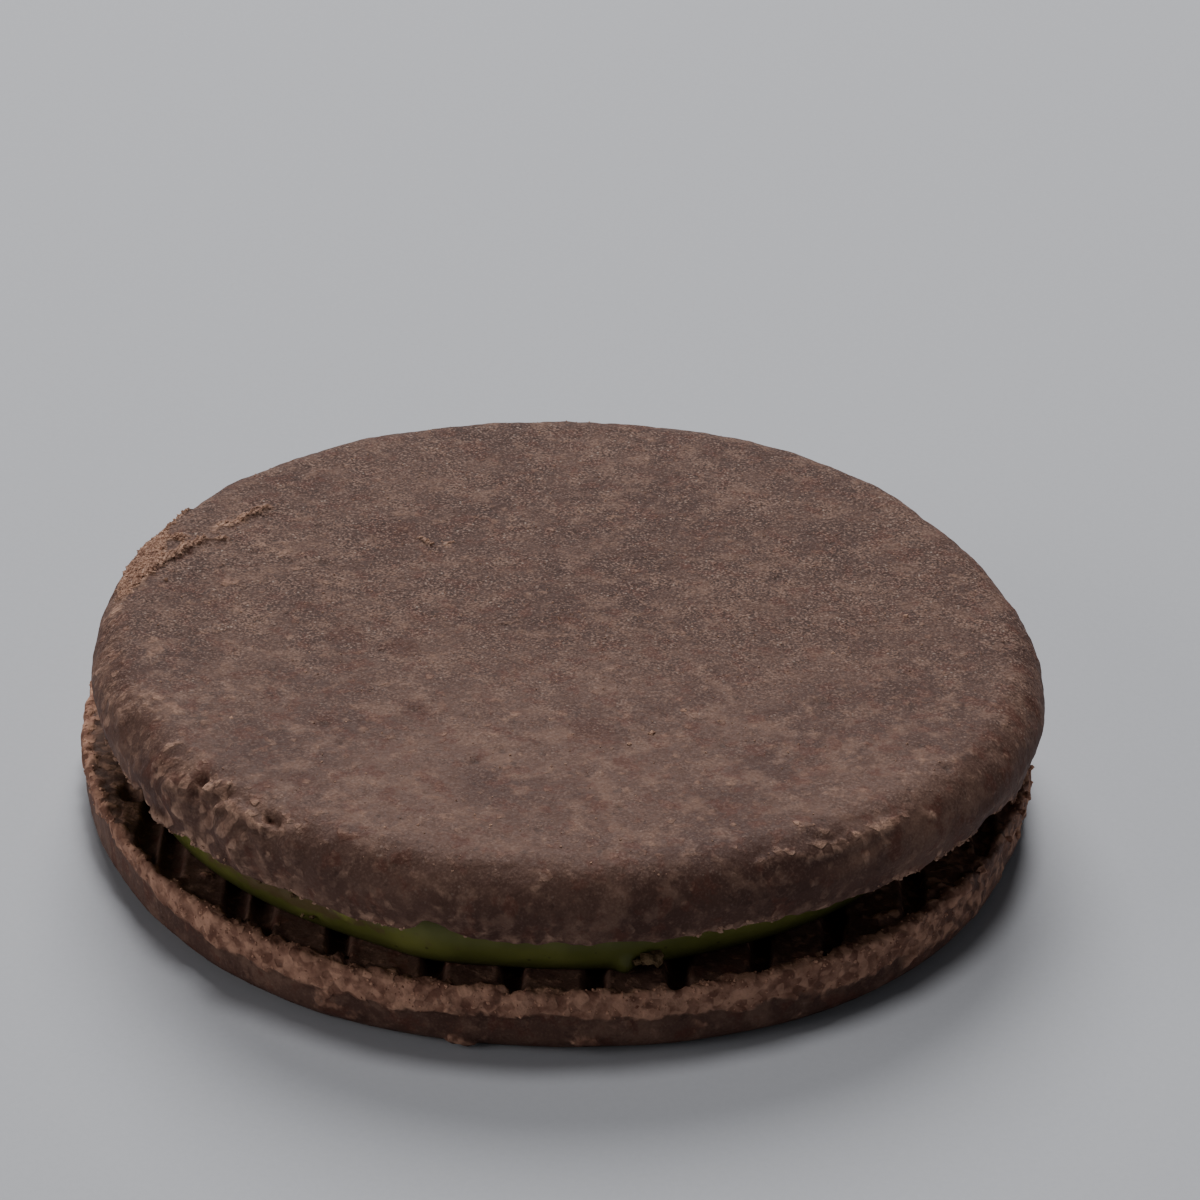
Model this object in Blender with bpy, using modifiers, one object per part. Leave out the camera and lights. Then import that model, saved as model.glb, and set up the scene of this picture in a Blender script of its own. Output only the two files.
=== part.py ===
"""A round chocolate sandwich cookie: two cocoa biscuits with green tea cream between them.

The lower biscuit lies upside down, so both biscuits turn their flat baked sides to the cream. The origin
is the middle of the lower biscuit's underside, +Z is up, and the part is in metres.
"""

import math

import bmesh
import bpy
from mathutils import Matrix

MM = 0.001
TURN_STEPS = 96
MERGE = 0.00001
REST_GAP = 0.3 * MM  # kept between pieces that touch

# Biscuits: radii, heights and centres
UPPER_RADIUS = 30.0 * MM
LOWER_RADIUS = 30.2 * MM
UPPER_CENTRE = (0.35 * MM, 0.27 * MM)
LOWER_TOP = 4.3 * MM
UPPER_BOTTOM = 7.58 * MM
TOTAL_HEIGHT = 12.22 * MM
UPPER_ROUNDING = 2.95 * MM  # domed edge, away from the cream
LOWER_ROUNDING = 1.3 * MM
WALL_LEAN = 0.3 * MM  # how far the wall draws in at the flat side
CRUMBLED_EDGE = 0.4 * MM

# Cream
CREAM_RADIUS = 26.3 * MM
CREAM_CENTRE = (-0.7 * MM, -0.95 * MM)
CREAM_BULGE = 0.45 * MM

# Marks that the baking mat's threads press into the flat sides
SLOT_WIDTH = 1.35 * MM
SLOT_DEPTH = 0.8 * MM
SLOT_PLACES_MM = (-24.55, -22.9, -18.6, -16.95, -12.3, -6.6, -2.0, 2.75, 7.55, 12.4, 16.7, 21.6, 26.3)
LOWER_SLOT_REACH = 29.5 * MM
UPPER_SLOT_REACH = 28.4 * MM

# Hand-cut outlines: (lobes round the edge, height, direction in degrees)
UPPER_LOBES = ((2, 0.16 * MM, 100), (3, 0.15 * MM, -21), (4, 0.3 * MM, -27), (5, 0.1 * MM, -15))
LOWER_LOBES = ((2, 0.05 * MM, 2), (3, 0.09 * MM, 33), (5, 0.24 * MM, 21))
CREAM_LOBES = ((3, 0.15 * MM, 40), (7, 0.1 * MM, 10))

# Finger dents in a wall: (direction in degrees, height, width, depth)
UPPER_DENTS = (
    (-134, 9.7 * MM, 1.5 * MM, 0.65 * MM),
    (-121, 9.2 * MM, 1.9 * MM, 0.35 * MM),
    (-152, 10.2 * MM, 2.2 * MM, 0.3 * MM),
    (35, 9.8 * MM, 2.4 * MM, 0.35 * MM),
    (112, 9.4 * MM, 2.0 * MM, 0.3 * MM),
)
LOWER_DENTS = (
    (-20, 2.6 * MM, 2.2 * MM, 0.3 * MM),
    (68, 2.4 * MM, 2.4 * MM, 0.35 * MM),
    (160, 2.7 * MM, 2.0 * MM, 0.3 * MM),
)

# Where cream swells out of the gap: (direction in degrees, width, depth)
CREAM_SWELLS = ((-104, 2.6 * MM, 0.35 * MM), (-80, 2.4 * MM, 0.25 * MM), (64, 3.0 * MM, 0.4 * MM))

# Chips out of the upper biscuit's lower edge: (direction in degrees, length, height)
UPPER_CHIPS = ((-103.5, 3.6 * MM, 0.6 * MM), (-31, 2.4 * MM, 0.5 * MM), (97, 4.0 * MM, 0.6 * MM))

# Gentle rise and fall of the baked top
SWELL_HEIGHT = 0.12 * MM
SWELL_X = 8.5 * MM
SWELL_Y = 11.0 * MM


def new_collection(name):
    collection = bpy.data.collections.new(name)
    bpy.context.scene.collection.children.link(collection)
    return collection


def new_material(name, colour, roughness):
    material = bpy.data.materials.new(name)
    material.use_nodes = True
    shader = material.node_tree.nodes["Principled BSDF"]
    shader.inputs["Base Color"].default_value = (*colour, 1.0)
    shader.inputs["Roughness"].default_value = roughness
    shader.inputs["Metallic"].default_value = 0.0
    return material


def arc(centre, radius, start, end, steps):
    """Points from one angle to another, in degrees, as (distance from the axis, height)."""
    angles = [math.radians(start + (end - start) * i / steps) for i in range(steps + 1)]
    return [(centre[0] + radius * math.cos(a), centre[1] + radius * math.sin(a)) for a in angles]


def upper_profile():
    """Baked top, domed edge and wall, down to the rim of the flat side."""
    rings = [(UPPER_RADIUS * share, TOTAL_HEIGHT) for share in (0.0, 0.2, 0.4, 0.6, 0.78)]
    dome = arc((UPPER_RADIUS - UPPER_ROUNDING, TOTAL_HEIGHT - UPPER_ROUNDING), UPPER_ROUNDING, 90, 0, 9)
    foot = (UPPER_RADIUS - WALL_LEAN - CRUMBLED_EDGE, UPPER_BOTTOM + CRUMBLED_EDGE)
    return rings + dome + arc(foot, CRUMBLED_EDGE, 0, -90, 3)


def lower_profile():
    """Rim of the flat side, wall and domed edge, down to the rim of the resting face."""
    lip = (LOWER_RADIUS - CRUMBLED_EDGE, LOWER_TOP - CRUMBLED_EDGE)
    wall_middle = (LOWER_RADIUS, (lip[1] + LOWER_ROUNDING) / 2)
    dome = arc((LOWER_RADIUS - LOWER_ROUNDING, LOWER_ROUNDING), LOWER_ROUNDING, 0, -90, 7)
    return arc(lip, CRUMBLED_EDGE, 90, 0, 3) + [wall_middle] + dome


def cream_profile():
    """Rounded side of the cream, from its top to its bottom."""
    top = UPPER_BOTTOM - REST_GAP
    bottom = LOWER_TOP + REST_GAP
    heights = [top + (bottom - top) * i / 8 for i in range(9)]
    half = (top - bottom) / 2
    middle = (top + bottom) / 2
    return [(CREAM_RADIUS + CREAM_BULGE * (1 - ((z - middle) / half) ** 2), z) for z in heights]


def turned(name, profile, material, collection):
    """Turn a profile round +Z and close each open end with one flat face."""
    guide_mesh = bpy.data.meshes.new(name + "_profile")
    bm = bmesh.new()
    points = [bm.verts.new((r, 0.0, z)) for r, z in profile]
    for upper, lower in zip(points, points[1:]):
        bm.edges.new((upper, lower))
    bm.to_mesh(guide_mesh)
    bm.free()
    guide = bpy.data.objects.new(name + "_profile", guide_mesh)
    collection.objects.link(guide)
    screw = guide.modifiers.new("turn", "SCREW")
    screw.steps = TURN_STEPS
    screw.render_steps = TURN_STEPS
    screw.use_merge_vertices = True
    screw.merge_threshold = MERGE
    view = bpy.context.evaluated_depsgraph_get()
    mesh = bpy.data.meshes.new_from_object(guide.evaluated_get(view))
    bpy.data.objects.remove(guide)

    bm = bmesh.new()
    bm.from_mesh(mesh)
    bmesh.ops.holes_fill(bm, edges=[edge for edge in bm.edges if edge.is_boundary], sides=0)
    bmesh.ops.recalc_face_normals(bm, faces=bm.faces)
    bm.to_mesh(mesh)
    bm.free()
    mesh.name = name
    mesh.materials.append(material)
    piece = bpy.data.objects.new(name, mesh)
    collection.objects.link(piece)
    return piece


def angle_between(a, b):
    """Smallest turn between two directions, in radians."""
    return abs((a - b + math.pi) % math.tau - math.pi)


def bump(distance, width):
    """Smooth hill that is 1 in the middle and fades out over the width."""
    return math.exp(-((distance / width) ** 2))


def outline(angle, lobes):
    return sum(height * math.cos(count * (angle - math.radians(turn))) for count, height, turn in lobes)


def dented(angle, z, radius, dents):
    depth = 0.0
    for turn, height, width, size in dents:
        along = radius * angle_between(angle, math.radians(turn))
        depth += size * bump(along, width) * bump(z - height, width)
    return depth


def shape(piece, lobes, centre, carve):
    """Move each point out or in to the hand-cut outline, then to its place beside the axis."""
    for vertex in piece.data.vertices:
        x, y, z = vertex.co
        distance = math.hypot(x, y)
        angle = math.atan2(y, x)
        grown = distance * (1 + outline(angle, lobes) / UPPER_RADIUS)
        edge_share = min(1.0, distance / (0.9 * UPPER_RADIUS)) ** 4
        grown += carve(angle, z) * edge_share
        vertex.co.x = centre[0] + grown * math.cos(angle)
        vertex.co.y = centre[1] + grown * math.sin(angle)


def swell(piece, bottom, height):
    """Let the baked top rise and fall gently while the flat side stays flat."""
    for vertex in piece.data.vertices:
        share = max(0.0, (vertex.co.z - bottom) / height) ** 2
        wave = math.sin(vertex.co.x / SWELL_X + 0.8) * math.cos(vertex.co.y / SWELL_Y - 0.4)
        vertex.co.z += SWELL_HEIGHT * (wave - 1) * share


def new_cutter(name, bm, collection):
    mesh = bpy.data.meshes.new(name)
    bm.to_mesh(mesh)
    bm.free()
    cutter = bpy.data.objects.new(name, mesh)
    cutter.hide_render = True
    cutter.display_type = "WIRE"
    collection.objects.link(cutter)
    return cutter


def slot_cutter(name, face_z, centre, reach, collection):
    """Bars that straddle a flat side and stop short of its rim."""
    bm = bmesh.new()
    for place_mm in SLOT_PLACES_MM:
        x = place_mm * MM
        length = 2 * math.sqrt(reach**2 - (abs(x) + SLOT_WIDTH / 2) ** 2)
        place = Matrix.Translation((centre[0] + x, centre[1], face_z))
        size = Matrix.Diagonal((SLOT_WIDTH, length, 2 * SLOT_DEPTH, 1.0))
        bmesh.ops.create_cube(bm, size=1.0, matrix=place @ size)
    return new_cutter(name, bm, collection)


def chip_cutter(name, chips, collection):
    """Flattened balls that sit in the wall at the lower edge of the upper biscuit."""
    bm = bmesh.new()
    for turn, length, height in chips:
        place = Matrix.Rotation(math.radians(turn), 4, "Z") @ Matrix.Translation(
            (UPPER_RADIUS - WALL_LEAN / 2, 0.0, UPPER_BOTTOM)
        )
        size = Matrix.Diagonal((length / 3, length / 2, height, 1.0))
        centre = Matrix.Translation((*UPPER_CENTRE, 0.0))
        bmesh.ops.create_uvsphere(bm, u_segments=14, v_segments=8, radius=1.0, matrix=centre @ place @ size)
    return new_cutter(name, bm, collection)


def cut(piece, cutter, name):
    boolean = piece.modifiers.new(name, "BOOLEAN")
    boolean.operation = "DIFFERENCE"
    boolean.solver = "EXACT"
    boolean.object = cutter


def smooth(piece):
    piece.data.shade_smooth()
    piece.data.set_sharp_from_angle(angle=math.radians(50))


def make_upper(parts, cutters):
    cocoa = new_material("upper_cocoa", (0.098, 0.062, 0.048), 0.85)
    biscuit = turned("upper_biscuit", upper_profile(), cocoa, parts)
    shape(
        biscuit,
        UPPER_LOBES,
        UPPER_CENTRE,
        lambda angle, z: -dented(angle, z, UPPER_RADIUS, UPPER_DENTS),
    )
    swell(biscuit, UPPER_BOTTOM, TOTAL_HEIGHT - UPPER_BOTTOM)
    smooth(biscuit)
    marks = slot_cutter("upper_mat_marks", UPPER_BOTTOM, UPPER_CENTRE, UPPER_SLOT_REACH, cutters)
    cut(biscuit, marks, "mat marks")
    cut(biscuit, chip_cutter("upper_chips", UPPER_CHIPS, cutters), "chips")


def make_cream(parts):
    tea = new_material("tea_cream", (0.13, 0.14, 0.03), 0.4)
    cream = turned("cream_filling", cream_profile(), tea, parts)

    def pressed_out(angle, z):
        gain = 0.0
        for turn, width, depth in CREAM_SWELLS:
            gain += depth * bump(CREAM_RADIUS * angle_between(angle, math.radians(turn)), width)
        return gain

    shape(cream, CREAM_LOBES, CREAM_CENTRE, pressed_out)
    smooth(cream)


def make_lower(parts, cutters):
    cocoa = new_material("lower_cocoa", (0.082, 0.050, 0.040), 0.85)
    biscuit = turned("lower_biscuit", lower_profile(), cocoa, parts)
    shape(
        biscuit,
        LOWER_LOBES,
        (0.0, 0.0),
        lambda angle, z: -dented(angle, z, LOWER_RADIUS, LOWER_DENTS),
    )
    smooth(biscuit)
    marks = slot_cutter("lower_mat_marks", LOWER_TOP, (0.0, 0.0), LOWER_SLOT_REACH, cutters)
    cut(biscuit, marks, "mat marks")


def main():
    for item in list(bpy.data.objects):
        bpy.data.objects.remove(item)
    parts = new_collection("chocolate_sandwich_cookie")
    cutters = new_collection("cutters")
    make_upper(parts, cutters)
    make_cream(parts)
    make_lower(parts, cutters)


main()
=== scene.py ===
# %% [markdown]
# # A chocolate sandwich cookie, one step at a time
#
# Two cocoa biscuits hold a layer of green tea cream. Their true sizes are already packed as three solids:
# an upper biscuit, the cream and a lower biscuit that lies upside down. This lesson gives each its real
# surface: the sandy top, the crumbly rims, the print of the baking mat and the soft side of the cream.
# The solids are loaded first, because every place comes from them.

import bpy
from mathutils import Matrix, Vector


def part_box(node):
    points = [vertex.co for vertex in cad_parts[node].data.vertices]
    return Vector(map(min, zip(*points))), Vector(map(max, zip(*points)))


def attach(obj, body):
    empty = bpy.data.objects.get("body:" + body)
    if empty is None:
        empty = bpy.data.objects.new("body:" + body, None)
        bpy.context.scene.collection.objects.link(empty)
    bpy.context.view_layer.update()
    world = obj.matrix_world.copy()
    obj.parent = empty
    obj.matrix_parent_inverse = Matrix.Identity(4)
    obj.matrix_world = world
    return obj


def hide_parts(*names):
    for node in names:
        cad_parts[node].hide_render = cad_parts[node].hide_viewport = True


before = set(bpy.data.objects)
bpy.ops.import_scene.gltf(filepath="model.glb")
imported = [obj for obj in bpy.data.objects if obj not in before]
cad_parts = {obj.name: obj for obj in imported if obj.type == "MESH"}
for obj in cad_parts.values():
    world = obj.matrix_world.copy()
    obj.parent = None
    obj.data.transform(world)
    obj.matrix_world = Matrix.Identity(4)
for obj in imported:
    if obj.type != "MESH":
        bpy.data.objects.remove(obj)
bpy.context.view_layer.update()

# %% [markdown]
# ## Measures
# Heights come straight from the solids' boxes. The biscuits were cut by hand from rolled dough, so their
# outlines are not true circles: a few slow waves run round each edge. A wave is its number of lobes, its
# height and the direction of its first crest, the same three values that the solids were made with.

# %% Heights, radii and outlines
import math
import random

import bmesh
import bpy
from mathutils import Matrix, Vector, kdtree, noise

MM = 0.001
upper_low, upper_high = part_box("upper_biscuit")
lower_low, lower_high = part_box("lower_biscuit")
cream_low, cream_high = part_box("cream_filling")
UPPER_FOOT, UPPER_TOP = upper_low.z, upper_high.z
LOWER_TOP = lower_high.z
UPPER_RADIUS = 30.0 * MM
LOWER_RADIUS = 30.05 * MM
CREAM_RADIUS = 26.3 * MM
UPPER_CENTRE = Vector((0.35, 0.27, 0.0)) * MM
CREAM_CENTRE = Vector((-0.7, -0.95, 0.0)) * MM
UPPER_LOBES = ((2, 0.16 * MM, 100), (3, 0.15 * MM, -21), (4, 0.3 * MM, -27), (5, 0.1 * MM, -15))
LOWER_LOBES = ((2, 0.05 * MM, 2), (3, 0.09 * MM, 33), (5, 0.24 * MM, 21))
CREAM_LOBES = ((3, 0.15 * MM, 40), (7, 0.1 * MM, 10))


def outline(angle, lobes):
    """How far a hand-cut edge stands out from its circle in one direction."""
    return sum(height * math.cos(count * (angle - math.radians(turn))) for count, height, turn in lobes)


print("upper biscuit from", round(UPPER_FOOT / MM, 2), "to", round(UPPER_TOP / MM, 2), "mm")
print("cream from", round(cream_low.z / MM, 2), "to", round(cream_high.z / MM, 2), "mm")
print("lower biscuit from", round(lower_low.z / MM, 2), "to", round(LOWER_TOP / MM, 2), "mm")

# %% [markdown]
# ## Camera
# A long lens from about 30 cm away and 29 degrees above the table shows the top, the front wall and the
# cream at once. Turning about X tips the camera down from the horizon, and the turn about its own Z,
# applied first, gives the view its slight roll.

# %% Place the camera
ELEVATION = math.radians(28.96)
ROLL = math.radians(1.755)
VIEW_DISTANCE = 290.6 * MM
LENS_MM = 126
SENSOR_MM = 36
look_at = Vector((2.36, 24.82, 0.0)) * MM
line_of_sight = Vector((0.0, math.cos(ELEVATION), -math.sin(ELEVATION)))
camera_data = bpy.data.cameras.new("view")
camera_data.lens = LENS_MM
camera_data.sensor_width = SENSOR_MM
camera_data.clip_start = 0.01
camera = bpy.data.objects.new("view", camera_data)
bpy.context.scene.collection.objects.link(camera)
stand = Matrix.Translation(look_at - line_of_sight * VIEW_DISTANCE)
tip = Matrix.Rotation(math.pi / 2 - ELEVATION, 4, "X")
camera.matrix_world = stand @ tip @ Matrix.Rotation(ROLL, 4, "Z")
bpy.context.scene.camera = camera
print("camera at", [round(v / MM, 1) for v in camera.matrix_world.translation], "mm")

# %% [markdown]
# ## Light
# A dark, matte biscuit shows its grain only when light rakes across it. A large soft box stands behind
# the cookie, so the top takes a pale sheen and the front wall falls into shade, and a smaller one hangs
# above it and draws the shadow under the front. A low box on the left shows the left wall and the rim,
# and a weak one on the right and an even grey sky lift the shade without adding a second shadow.

# %% Set the lights
# name, place in metres, width in metres, power in watts, tint
SOFT_BOXES = (
    ("high_box", (0.06, 0.26, 1.47), 0.32, 8.0, (1.0, 0.99, 0.98)),
    ("back_box", (-0.12, 1.10, 1.00), 0.90, 21.6, (1.0, 0.99, 0.98)),
    ("left_box", (-1.15, -0.40, 0.48), 0.80, 4.8, (1.0, 0.98, 0.96)),
    ("right_box", (1.00, -0.80, 0.45), 0.90, 0.78, (1.0, 0.99, 0.98)),
)
SKY_TINT = (0.86, 0.92, 1.0, 1.0)
SKY_STRENGTH = 0.055
for box_name, place, width, power, tint in SOFT_BOXES:
    light_data = bpy.data.lights.new(box_name, "AREA")
    light_data.shape = "DISK"
    light_data.size = width
    light_data.energy = power
    light_data.color = tint
    light = bpy.data.objects.new(box_name, light_data)
    bpy.context.scene.collection.objects.link(light)
    light.location = place
    light.rotation_euler = (-Vector(place)).to_track_quat("-Z", "Y").to_euler()

world = bpy.data.worlds.new("soft_sky")
world.use_nodes = True
bpy.context.scene.world = world
sky = world.node_tree.nodes["Background"]
sky.inputs["Color"].default_value = SKY_TINT
sky.inputs["Strength"].default_value = SKY_STRENGTH
print("lights:", [row[0] for row in SOFT_BOXES])

# %% [markdown]
# ## Shader maths as plain Python
# A finish is a sum of patterns. Written as nodes that is a long list of links, so one small class wraps a
# socket and lets Python's own signs add the Math nodes. `1 - mask` works too, because the reflected forms
# are there. Any other node comes from one method, which takes its type, its settings and what its sockets
# get. Colours never pass a Math node, which would turn them grey: they go through a Mix node.

# %% One class for every socket
HILL_TURN = (0.6, 0.5, 0.4)


class Signal:
    """A value, colour or vector that varies over a surface: one output socket of a finish."""

    def __init__(self, tree, socket=None):
        self.tree = tree
        self.socket = socket

    def node(self, kind, settings=None, inputs=None, output=0):
        """Add a node, set it up, feed its sockets and give back one of its outputs."""
        node = self.tree.nodes.new(kind)
        for name, value in (settings or {}).items():
            setattr(node, name, value)
        for name, value in (inputs or {}).items():
            if isinstance(value, Signal):
                self.tree.links.new(value.socket, node.inputs[name])
            else:
                node.inputs[name].default_value = value
        return Signal(self.tree, node.outputs[output])

    def maths(self, operation, *values):
        return self.node("ShaderNodeMath", {"operation": operation}, dict(enumerate(values)))

    def __add__(self, other):
        return self.maths("ADD", self, other)

    def __sub__(self, other):
        return self.maths("SUBTRACT", self, other)

    def __rsub__(self, other):
        return self.maths("SUBTRACT", other, self)

    def __mul__(self, other):
        return self.maths("MULTIPLY", self, other)

    __radd__ = __add__
    __rmul__ = __mul__

    def ease(self, low, high):
        """0 below low, 1 above high and a smooth step between. Low may be the larger."""
        limits = {"Value": self, "From Min": low, "From Max": high}
        return self.node("ShaderNodeMapRange", {"interpolation_type": "SMOOTHSTEP"}, limits)

    def hills(self, size, detail=2.0, shift=0.0):
        """Soft random hills of a given width, about 0 to 1. The signal is a place. It is turned a
        little first, because the hills line up with the axes and would show rows on a flat top."""
        turned = {"Vector": self, "Location": (shift,) * 3, "Rotation": HILL_TURN}
        moved = self.node("ShaderNodeMapping", {}, turned)
        return moved.node(
            "ShaderNodeTexNoise", {}, {"Vector": moved, "Scale": 1 / size, "Detail": detail}, "Fac"
        )

    def grains(self, size, output="Distance"):
        """Rounded cells of a given width: distance from each middle, or a random colour for each."""
        return self.node("ShaderNodeTexVoronoi", {}, {"Vector": self, "Scale": 1 / size}, output)

    def clods(self, size):
        """A random level for every cell of a given width, with soft borders, 0 to 1."""
        cells = {"Vector": self, "Scale": 1 / size, "Smoothness": 0.35}
        level = self.node("ShaderNodeTexVoronoi", {"feature": "SMOOTH_F1"}, cells, "Color")
        return level.part("ShaderNodeSeparateColor", "Blue")

    def part(self, kind, name):
        """One part of a vector or of a colour, split by the node kind."""
        return self.node(kind, {}, {0: self}, name)

    def stored(self, share):
        """A share that is stored at the points of the piece."""
        return self.node("ShaderNodeAttribute", {"attribute_name": share}, output="Fac")

    def as_normal(self, strength):
        """The normal of a surface that has this height in metres."""
        return self.node("ShaderNodeBump", {}, {"Height": self, "Distance": 1.0, "Strength": strength})

    def over(self, under, colour):
        """Lay a colour over another one where this mask is 1. The Mix node keeps its two colours at
        the places 6 and 7, and gives the result at 2."""
        layers = {0: self, 6: under, 7: colour}
        return self.node("ShaderNodeMix", {"data_type": "RGBA"}, layers, 2)


def colour(red, green, blue):
    return (red, green, blue, 1.0)


def new_finish(name):
    """A new material, its main shader node, and the place on the piece as a signal."""
    finish = bpy.data.materials.new(name)
    finish.use_nodes = True
    shader = finish.node_tree.nodes["Principled BSDF"]
    place = Signal(finish.node_tree).node("ShaderNodeTexCoord", output="Object")
    return finish, shader, place


def feed(shader, **signals):
    """Link signals to the main shader's sockets. Underscores stand for spaces."""
    for name, signal in signals.items():
        signal.tree.links.new(signal.socket, shader.inputs[name.replace("_", " ")])


print("shader helper ready")

# %% [markdown]
# ## Turning a biscuit blank
# A biscuit is a turned form: its section, spun once round the upright axis, gives the whole skin. The
# section is made of lines and arcs, split into steps that are fine where the surface is broken and coarse
# where nothing shows. `spin` with `use_merge` closes the seam, and the points on the axis are merged to
# one at each pole.

# %% Sections and spinning


def arc(centre_radius, centre_height, radius, start, end, step):
    """Points on a round corner, from one angle to another in degrees."""
    count = max(2, round(radius * math.radians(abs(end - start)) / step))
    turns = [math.radians(start + (end - start) * i / count) for i in range(count + 1)]
    return [(centre_radius + radius * math.cos(t), centre_height + radius * math.sin(t)) for t in turns]


def straight(start, end, step):
    """Even points from one corner to another, without the last one."""
    count = max(1, round(math.dist(start, end) / step))
    return [
        (start[0] + (end[0] - start[0]) * i / count, start[1] + (end[1] - start[1]) * i / count)
        for i in range(count)
    ]


def spun(section, steps):
    """Spin a section once round the axis into a closed skin whose faces point outwards."""
    bm = bmesh.new()
    corners = [bm.verts.new((r, 0.0, z)) for r, z in section]
    sides = [bm.edges.new(pair) for pair in zip(corners, corners[1:])]
    bmesh.ops.spin(
        bm,
        geom=corners + sides,
        cent=(0, 0, 0),
        axis=(0, 0, 1),
        angle=math.tau,
        steps=steps,
        use_merge=True,
        use_duplicate=False,
    )
    poles = [vertex for vertex in bm.verts if vertex.co.xy.length < 0.001 * MM]
    bmesh.ops.remove_doubles(bm, verts=poles, dist=0.01 * MM)
    bmesh.ops.recalc_face_normals(bm, faces=bm.faces)
    bm.normal_update()
    return bm


print("turning helpers ready")

# %% [markdown]
# Every piece ends the same way: its mesh takes the finish and rides on the one body of the cookie. The
# three main pieces also replace the solid of their layer.

# %% From a mesh to a finished piece


def finished(name, bm, material, replaces=None, smooth=True):
    """Make the piece, give it its finish, tie it to the body, and hide the solid it replaces."""
    mesh = bpy.data.meshes.new(name)
    bm.to_mesh(mesh)
    bm.free()
    if smooth:
        mesh.shade_smooth()
    mesh.materials.append(material)
    piece = bpy.data.objects.new(name, mesh)
    bpy.context.scene.collection.objects.link(piece)
    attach(piece, "root")
    if replaces:
        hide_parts(replaces)
    triangles = sum(len(face.vertices) - 2 for face in mesh.polygons)
    top = max(vertex.co.z for vertex in mesh.vertices)
    print(f"{name}: {triangles} triangles, top at {top / MM:.2f} mm")


print("finishing helper ready")

# %% [markdown]
# ## Unevenness by formula
# Baked dough is uneven at every scale, so the relief is built from a few ingredients: smooth hills,
# rounded cobbles like packed crumbs, and soft steps that keep them to a zone. They are worked out for
# each point of the mesh. What is finer than its quarter of a millimetre is left to the finish.

# %% Relief ingredients


def hills(point, size, octaves=1, shift=0.0):
    """Smooth random hills of a given width, about -1 to 1."""
    return noise.fractal(point / size + Vector((shift,) * 3), 1.0, 2.0, octaves)


def cobbles(point, size, shift=0.0):
    """Rounded lumps that touch each other, from 0.25 in the joints to about 1 on top."""
    return 1.0 - min(0.75, noise.voronoi(point / size + Vector((shift,) * 3))[0][0])


def ease(value, low, high):
    """0 below low, 1 above high and a smooth step between. Low may be the larger."""
    share = min(1.0, max(0.0, (value - low) / (high - low)))
    return share * share * (3 - 2 * share)


def bump(distance, width):
    """A smooth hill that is 1 in the middle and fades over its width."""
    return math.exp(-((distance / width) ** 2))


def beside(angle, turn, radius, width):
    """1 at a direction given in degrees, fading with the distance along the edge."""
    apart = abs((angle - math.radians(turn) + math.pi) % math.tau - math.pi)
    return bump(radius * apart, width)


def polar(point):
    """Distance from the upright axis and direction of a point."""
    return point.xy.length, math.atan2(point.y, point.x)


def placed(distance, angle, height):
    """The point at a distance and a direction from the upright axis."""
    return Vector((distance * math.cos(angle), distance * math.sin(angle), height))


print("relief helpers ready")

# %% [markdown]
# ## Marks of handling and baking
# A real cookie carries marks that no formula gives: a strip of dough torn off the left rim, folds pushed
# up where it was held, smears of pale crumb and small chips. Each mark is a rounded stroke from one place
# to another, with a half width and a height, in millimetres. Two shares tell the finish how much bare
# crumb and how much pale dust it shows.

# %% Marks as strokes
# from, to (x, y, z), half width, height, bare crumb, pale dust
TORN_STRIP = (
    ((-26.3, 5.6, 12.0), (-25.4, 6.9, 12.1), 0.48, 0.14, 1.0, 0.5),
    ((-25.4, 6.9, 12.1), (-24.7, 8.3, 12.1), 0.58, 0.17, 1.0, 0.5),
    ((-24.7, 8.3, 12.1), (-23.3, 9.6, 12.1), 0.55, 0.18, 1.0, 0.4),
    ((-23.3, 9.6, 12.1), (-21.9, 9.8, 12.1), 0.36, 0.18, 1.0, 0.4),
    ((-25.0, 6.5, 12.1), (-24.1, 7.9, 12.1), 0.34, -0.20, 0.0, 0.0),
    ((-22.9, 8.8, 12.1), (-21.8, 9.2, 12.1), 0.32, -0.18, 0.0, 0.0),
    ((-26.6, 5.6, 11.9), (-26.2, 9.6, 11.9), 1.05, 0.06, 1.0, 0.5),
    ((-26.0, 9.6, 11.9), (-25.0, 9.6, 12.0), 0.80, 0.06, 1.0, 0.4),
    ((-27.3, 8.4, 11.4), (-25.9, 11.2, 11.7), 0.85, 0.10, 1.0, 0.4),
    ((-25.8, 11.8, 11.7), (-25.0, 13.7, 11.6), 0.40, 0.10, 0.8, 0.4),
    ((-25.1, 13.8, 11.5), (-24.8, 14.1, 11.5), 0.36, 0.18, 1.0, 0.4),
    ((-27.8, 4.2, 11.6), (-27.5, 7.4, 11.5), 1.05, 0.06, 1.0, 0.5),
    ((-27.5, 7.4, 11.4), (-27.2, 9.6, 11.2), 0.95, 0.06, 1.0, 0.4),
    ((-27.7, 2.6, 11.7), (-27.2, 4.6, 11.9), 0.95, 0.04, 0.75, 0.8),
    ((-28.1, 0.4, 11.4), (-27.7, 2.4, 11.7), 0.90, 0.03, 0.40, 0.8),
    ((-22.7, 11.1, 12.1), (-21.4, 12.4, 12.1), 0.70, 0.07, 0.60, 0.6),
    ((-21.3, 12.8, 12.1), (-20.5, 13.5, 12.1), 0.40, 0.15, 1.0, 0.5),
    ((-20.5, 13.5, 12.1), (-19.5, 14.3, 12.1), 0.40, 0.17, 1.0, 0.4),
    ((-20.8, 12.2, 12.1), (-19.3, 13.3, 12.1), 0.28, -0.14, 0.0, 0.0),
)
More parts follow.
